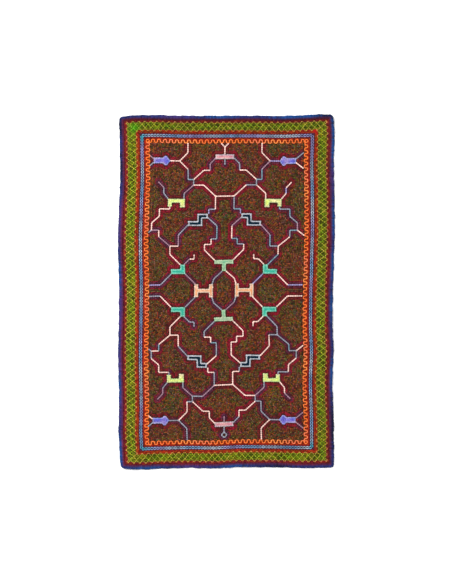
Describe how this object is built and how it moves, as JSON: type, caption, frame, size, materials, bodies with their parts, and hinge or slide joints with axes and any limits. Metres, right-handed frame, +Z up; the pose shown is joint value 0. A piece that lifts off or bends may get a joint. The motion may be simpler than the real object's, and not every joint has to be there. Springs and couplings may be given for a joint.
{
  "type": "shipibo embroidered cloth",
  "caption": "Flat rectangular cotton cloth covered with embroidered bordered maze pattern, its rim bound with a thick yarn edging.",
  "frame": {"origin": "on the surface that the cloth lies on, under the middle of its outline", "axes": "+Y along the cloth towards its top end, +X across it to its right side, +Z up from its underside to its face"},
  "size_m": [0.3514, 0.5752, 0.0052],
  "materials": {
    "embroidered_cotton": "matte cotton covered with close chain stitch in thin yarn, brown and rust with light lines",
    "edging_yarn": "soft variegated navy and purple yarn wrapped over the rim"
  },
  "bodies": {
    "root": {"embroidered_cloth": "embroidered_cotton", "yarn_edging": "edging_yarn"}
  },
  "joints": []
}
